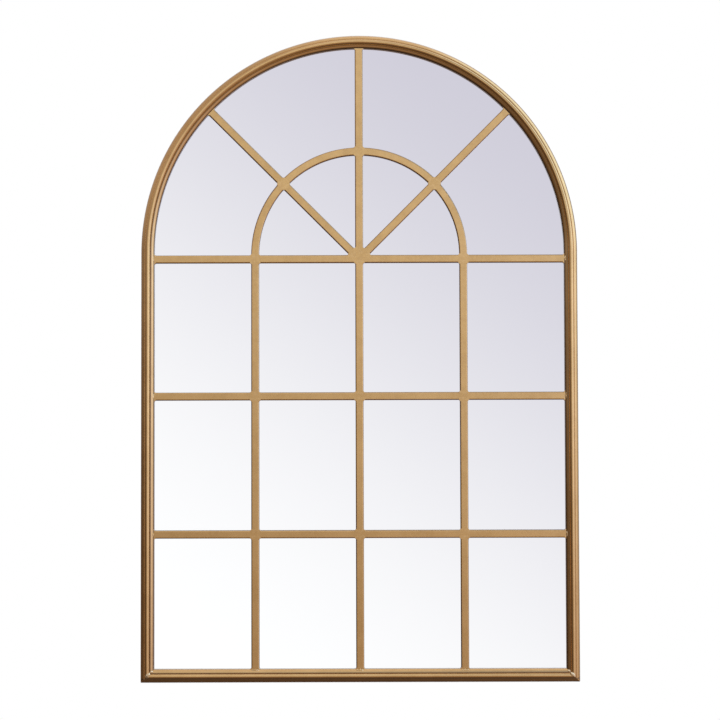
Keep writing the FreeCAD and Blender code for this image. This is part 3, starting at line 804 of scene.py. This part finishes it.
class WINDOW_MIRROR_OT_frame(bpy.types.Operator):
    """Draws the moulded section and runs it up the jambs, over the arch and along the bottom rail"""

    bl_idname = "window_mirror.frame"
    bl_label = "Frame mouldings"

    arch_steps = 72
    slope_steps = 10
    bead_steps = 9
    ledge_steps = 12
    edge_steps = 2
    edge_limit = 40
    smooth_limit = 45
    corner_cuts = (15, 30, 45, 60, 75)
    mitre_cut = 45

    def execute(self, context):
        sizes = stored(context, "frame")
        paint = finishes(context)["brass_frame"]
        corner = Vector((-sizes.outer_radius, 0, sizes.bottom))
        mitre = (RIGHTWARD - UPWARD).normalized()

        spare = 2 * sizes.corner_round
        arch = draw_outline(
            "frame_arch_moulding", self.section(sizes), corner - UPWARD * spare, RIGHTWARD, FORWARD
        )
        extrude(UPWARD * (spare - sizes.bottom))
        spin(QUARTER, (0, 0, 0), (0, 1, 0), self.arch_steps)
        cut_away(corner, mitre)
        self.round_corner(sizes, corner, [cut for cut in self.corner_cuts if cut <= self.mitre_cut])
        self.complete(arch, sizes)
        finish_piece(arch, "gold_frame", paint, "frame_arch")

        rail = draw_outline(
            "frame_rail_moulding", self.section(sizes), (0, 0, sizes.bottom), UPWARD, FORWARD
        )
        extrude(-RIGHTWARD * (sizes.outer_radius + spare))
        cut_away(corner, -mitre)
        self.round_corner(sizes, corner, [cut for cut in self.corner_cuts if cut >= self.mitre_cut])
        self.complete(rail, sizes)
        finish_piece(rail, "gold_frame", paint, "frame_bottom_rail")
        return {"FINISHED"}

    def section(self, sizes):
        """The moulding's outline, as strokes of inset from the outer edge and distance from the wall."""
        bead_foot = sizes.crest - sizes.bead_rise
        ledge_front = bead_foot + sizes.bead_foot
        bead_start = sizes.slope_width + sizes.quirk_width
        bead_end = bead_start + sizes.bead_width
        ledge_start = bead_end + sizes.quirk_width
        lip = ledge_start + sizes.ledge_width
        half_bead = sizes.bead_width / 2
        half_quirk = sizes.quirk_width / 2
        bead_radius = (half_bead ** 2 + sizes.bead_rise ** 2) / (2 * sizes.bead_rise)
        return [
            (0.0, sizes.back),
            (0.0, ledge_front - sizes.slope_drop),
            (sizes.slope_width, ledge_front, sizes.slope_radius, self.slope_steps),
            (sizes.slope_width + half_quirk, ledge_front - sizes.outer_quirk_depth),
            (bead_start, bead_foot),
            (bead_start + half_bead, sizes.crest, bead_radius, self.bead_steps),
            (bead_end, bead_foot, bead_radius, self.bead_steps),
            (bead_end + half_quirk, ledge_front - sizes.quirk_depth),
            (ledge_start, ledge_front),
            (lip, sizes.lip_back + sizes.lip_edge, sizes.ledge_radius, self.ledge_steps),
            (lip, sizes.lip_back),
            (sizes.chamber_width, sizes.lip_back),
            (sizes.chamber_width, sizes.back),
        ]

    def round_corner(self, sizes, corner, cuts):
        """Rounds the outer corner by cuts along tangents of its circle."""
        centre = corner + (RIGHTWARD + UPWARD) * sizes.corner_round
        for cut in cuts:
            away = -RIGHTWARD * math.cos(math.radians(cut)) - UPWARD * math.sin(math.radians(cut))
            cut_away(centre + away * sizes.corner_round, away)

    def complete(self, piece, sizes):
        merge_points(MERGE_GAP)
        leave_edit()
        mirror_halves(piece)
        apply_modifier(
            piece, "BEVEL", width=sizes.edge_round, segments=self.edge_steps, limit_method="ANGLE",
            angle_limit=math.radians(self.edge_limit), use_clamp_overlap=True,
        )
        smooth(piece, self.smooth_limit)
        keep_faces_flat(piece)


def mullion_ends(column, row):
    """Middle of a mullion's upper and lower end, each with the direction to what carries it."""
    low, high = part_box(f"mullion_{column}_{row}")
    middle = (low[X] + high[X]) / 2
    return (middle, high[Z], 0, 1), (middle, low[Z], 0, -1)


def cross_bar_ends():
    """Middle of each cross bar's left and right end, with the direction to the frame."""
    ends = []
    for bar in CROSS_BARS:
        low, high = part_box(bar)
        middle = (low[Z] + high[Z]) / 2
        ends.append((low[X], middle, -1, 0))
        ends.append((high[X], middle, 1, 0))
    return ends


def spoke_meets(spoke, radius, centre_height):
    """Where a spoke's middle line meets a circle about a point on the mirror's middle line."""
    drop = HUB_HEIGHT - centre_height
    along = -drop * math.sin(spoke) + math.sqrt(radius ** 2 - (drop * math.cos(spoke)) ** 2)
    return along * math.cos(spoke), HUB_HEIGHT + along * math.sin(spoke)


class WINDOW_MIRROR_OT_grille_welds(bpy.types.Operator):
    """Fills the joints of the flat bars with webbed welds, ground flush with the bars"""

    bl_idname = "window_mirror.grille_welds"
    bl_label = "Grille welds"

    web_steps = 6
    round_steps = 4
    smooth_limit = 40

    def execute(self, context):
        sizes = stored(context, "weld")
        pattern = self.add_pad("weld_pattern", self.butt_outline(sizes), (0, 0), sizes)
        pads = [copied(pattern, (x, 0, z), math.atan2(toward_x, toward_z))
                for x, z, toward_x, toward_z in self.butt_joints(sizes)]
        remove(pattern)
        pads.append(self.add_pad("hub_weld", self.hub_outline(sizes), (0, HUB_HEIGHT), sizes))
        welds = joined("grille_welds", pads)
        smooth(welds, self.smooth_limit)
        keep_faces_flat(welds)
        finish_piece(welds, "gold_bar", finishes(context)["ground_weld"])
        return {"FINISHED"}

    def add_pad(self, name, outline, middle, sizes):
        origin = Vector((middle[0], -sizes.bar_back, middle[1]))
        pad = draw_outline(name, outline, origin, RIGHTWARD, UPWARD)
        bpy.ops.mesh.edge_face_add()
        extrude(FORWARD * (sizes.bar_front - sizes.bar_back + sizes.proud))
        bpy.ops.mesh.region_to_loop()
        bpy.ops.mesh.bevel(
            offset=sizes.bar_round, segments=self.round_steps, affect="EDGES", clamp_overlap=True
        )
        face_outwards()
        leave_edit()
        return pad

    def butt_outline(self, sizes):
        """A bar that comes from below and ends under the bar that carries it."""
        half = sizes.bar_half_width + sizes.proud
        web = sizes.web
        return [
            (-half - web, 0.0),
            (-half, -web, web, self.web_steps),
            (half, -web),
            (half + web, 0.0, web, self.web_steps),
            (half + web, sizes.bite),
            (-half - web, sizes.bite),
        ]

    def hub_outline(self, sizes):
        """The fan of three spokes on the transom, about the hub."""
        half = sizes.bar_half_width + sizes.proud
        half_gap = EIGHTH / 2
        reach = half / math.sin(half_gap)
        web = sizes.hub_web
        radius = web * math.tan(half_gap)
        strokes = []
        for step in range(len(SPOKE_ANGLES) + 1):
            first = step * EIGHTH
            last = first + EIGHTH
            middle = first + half_gap
            corner = Vector((math.cos(middle), math.sin(middle))) * reach
            start = corner + Vector((math.cos(first), math.sin(first))) * web
            end = corner + Vector((math.cos(last), math.sin(last))) * web
            strokes.append(tuple(start))
            strokes.append((*end, radius, self.web_steps))
        left = strokes[-1][0]
        right = strokes[0][0]
        strokes.append((left, half - sizes.bite))
        strokes.append((right, half - sizes.bite))
        return strokes

    def butt_joints(self, sizes):
        """Middle of each bar's end, and the direction from there to what carries it."""
        joints = []
        for column in COLUMNS:
            for row in ROWS:
                joints.extend(mullion_ends(column, row))
        joints.extend(cross_bar_ends())
        half = sizes.bar_half_width
        for side in (-1, 1):
            joints.append((side * (FAN_HIGH[X] - half), FAN_LOW[Z], 0, -1))
        for spoke in SPOKE_ANGLES:
            toward = (math.cos(spoke), math.sin(spoke))
            away = (-toward[0], -toward[1])
            joints.append((*spoke_meets(spoke, FAN_HIGH[X] - 2 * half, FAN_LOW[Z]), *toward))
            joints.append((*spoke_meets(spoke, FAN_HIGH[X], FAN_LOW[Z]), *away))
            joints.append((*spoke_meets(spoke, TRANSOM_HIGH[X], 0.0), *toward))
        return joints


class WINDOW_MIRROR_OT_frame_welds(bpy.types.Operator):
    """Lays rough weld metal on the mitres, and painted welds where the bars end on the frame's ledge"""

    bl_idname = "window_mirror.frame_welds"
    bl_label = "Frame welds"

    lump_divisions = 3
    smooth_limit = 60

    def execute(self, context):
        frame_sizes = stored(context, "frame")
        sizes = stored(context, "weld")
        bare = []
        for side in (-1, 1):
            for inset, depth, half in (
                (sizes.bead_inset, sizes.bead_depth, sizes.bead_lump),
                (sizes.ledge_inset, sizes.ledge_depth, sizes.ledge_lump),
            ):
                spot = (side * (frame_sizes.outer_radius - inset), -depth, frame_sizes.bottom + inset)
                bare.append(self.add_lump(len(bare), spot, half, side * EIGHTH))
        self.complete("mitre_welds", bare, finishes(context)["weld_metal"])

        painted = []
        for x, z, toward_x, toward_z, size in self.bar_ends(sizes):
            spot = (
                x + toward_x * sizes.end_reach,
                -sizes.bar_front - sizes.end_rise,
                z + toward_z * sizes.end_reach,
            )
            half = Vector(sizes.end_lump) * size
            painted.append(self.add_lump(len(painted), spot, half, math.atan2(toward_x, toward_z)))
        self.complete("bar_end_welds", painted, finishes(context)["weld_paint"])
        return {"FINISHED"}

    def bar_ends(self, sizes):
        """Middle of each bar's end on the frame, the direction to the frame, and the weld's size."""
        feet = [(*mullion_ends(column, "lower")[1], 1.0) for column in COLUMNS]
        return feet + [(*end, sizes.end_share) for end in cross_bar_ends()]

    def complete(self, name, lumps, material):
        welds = joined(name, lumps)
        smooth(welds, self.smooth_limit)
        finish_piece(welds, "gold_frame", material)

    def add_lump(self, seed, spot, half, turn):
        """A roughened lump of weld metal of the given half sizes, turned about the Y axis."""
        deselect_all()
        bpy.ops.mesh.primitive_ico_sphere_add(subdivisions=self.lump_divisions, radius=1.0)
        lump = bpy.context.object
        edit(lump)
        bpy.ops.transform.vertex_random(offset=0.30, uniform=0.2, normal=0.8, seed=seed + 1)
        bpy.ops.mesh.vertices_smooth(factor=0.5, repeat=2)
        leave_edit()
        lump.scale = half
        lump.rotation_euler = Euler((0, turn, 0))
        lump.location = spot
        bpy.ops.object.transform_apply(location=True, rotation=True, scale=True)
        return lump


class WINDOW_MIRROR_OT_bumpers(bpy.types.Operator):
    """Turns the rubber wall bumpers, with a rounded rim and a suction dimple"""

    bl_idname = "window_mirror.bumpers"
    bl_label = "Wall bumpers"

    turn_steps = 36
    rim_steps = 6
    dimple_steps = 5
    smooth_limit = 40

    def execute(self, context):
        sizes = stored(context, "bumper")
        frame_sizes = stored(context, "frame")
        pattern = self.add_bumper(sizes, frame_sizes.back)
        line = frame_sizes.outer_radius - sizes.inset
        arch = (line * math.cos(sizes.arch_angle), line * math.sin(sizes.arch_angle))
        foot = (line, frame_sizes.bottom + sizes.rise)
        pads = [copied(pattern, (side * x, 0, z)) for x, z in (arch, foot) for side in (-1, 1)]
        remove(pattern)
        bumpers = joined("wall_bumper_pads", pads)
        smooth(bumpers, self.smooth_limit)
        finish_piece(bumpers, "rubber", finishes(context)["moulded_rubber"], "wall_bumpers")
        return {"FINISHED"}

    def add_bumper(self, sizes, height):
        """The profile from the frame to the rim and into the dimple, turned about its own axis."""
        slim = sizes.wall_radius
        rim = sizes.edge_round
        bowl = (sizes.dimple_radius ** 2 + sizes.dimple_depth ** 2) / (2 * sizes.dimple_depth)
        profile = [
            (0.0, height),
            (sizes.radius, height),
            (slim, rim),
            (slim - rim, 0.0, rim, self.rim_steps),
            (sizes.dimple_radius, 0.0),
            (0.0, sizes.dimple_depth, -bowl, self.dimple_steps),
        ]
        bumper = draw_outline("bumper_pattern", profile, (0, 0, 0), RIGHTWARD, FORWARD)
        spin(2 * math.pi, (0, 0, 0), (0, 1, 0), self.turn_steps)
        merge_points(AXIS_GAP)
        face_outwards()
        leave_edit()
        return bumper


class WINDOW_MIRROR_OT_cad_finishes(bpy.types.Operator):
    """Gives the CAD pieces that stay in view their finishes"""

    bl_idname = "window_mirror.cad_finishes"
    bl_label = "CAD finishes"

    by_name = (
        ("frame_", "brass_frame"),
        ("mirror_glass", "silvered_glass"),
        ("glazing_tape", "foam_skin"),
        ("backing_board", "pressed_board"),
        ("turn_button_screws", "screw_zinc"),
        ("hanger_screws", "screw_zinc"),
        ("turn_button", "bright_zinc"),
        ("hanger_strap", "bright_zinc"),
        ("d_ring", "screw_zinc"),
        ("wall_bumpers", "moulded_rubber"),
        ("", "brass_bar"),
    )

    def execute(self, context):
        materials = finishes(context)
        for name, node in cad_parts.items():
            finish = next(finish for start, finish in self.by_name if name.startswith(start))
            if not node.material_slots:
                node.data.materials.append(materials[finish])
            for slot in node.material_slots:
                slot.material = materials[finish]
        return {"FINISHED"}


STEPS = (
    WINDOW_MIRROR_OT_stage,
    WINDOW_MIRROR_OT_frame,
    WINDOW_MIRROR_OT_grille_welds,
    WINDOW_MIRROR_OT_frame_welds,
    WINDOW_MIRROR_OT_bumpers,
    WINDOW_MIRROR_OT_cad_finishes,
)
SETTINGS = {
    "frame": FrameSizes,
    "weld": WeldSizes,
    "bumper": BumperSizes,
    "metal": MetalColours,
    "back": BackColours,
    "stage": StageSettings,
}


class WINDOW_MIRROR_PT_panel(bpy.types.Panel):
    """Lists the steps that dress the mirror"""

    bl_idname = "WINDOW_MIRROR_PT_panel"
    bl_label = "Arched window mirror"
    bl_space_type = "VIEW_3D"
    bl_region_type = "UI"
    bl_category = "Mirror"

    def draw(self, context):
        for step in STEPS:
            self.layout.operator(step.bl_idname)


def register():
    for kind in (*SETTINGS.values(), *STEPS, WINDOW_MIRROR_PT_panel):
        bpy.utils.register_class(kind)
    for name, kind in SETTINGS.items():
        setattr(bpy.types.Scene, "window_mirror_" + name, bpy.props.PointerProperty(type=kind))


def unregister():
    for name in SETTINGS:
        delattr(bpy.types.Scene, "window_mirror_" + name)
    for kind in (WINDOW_MIRROR_PT_panel, *reversed(STEPS), *reversed(SETTINGS.values())):
        bpy.utils.unregister_class(kind)


def main():
    register()
    for step in STEPS:
        group, name = step.bl_idname.split(".")
        getattr(getattr(bpy.ops, group), name)()
    deselect_all()


if __name__ == "__main__":
    main()
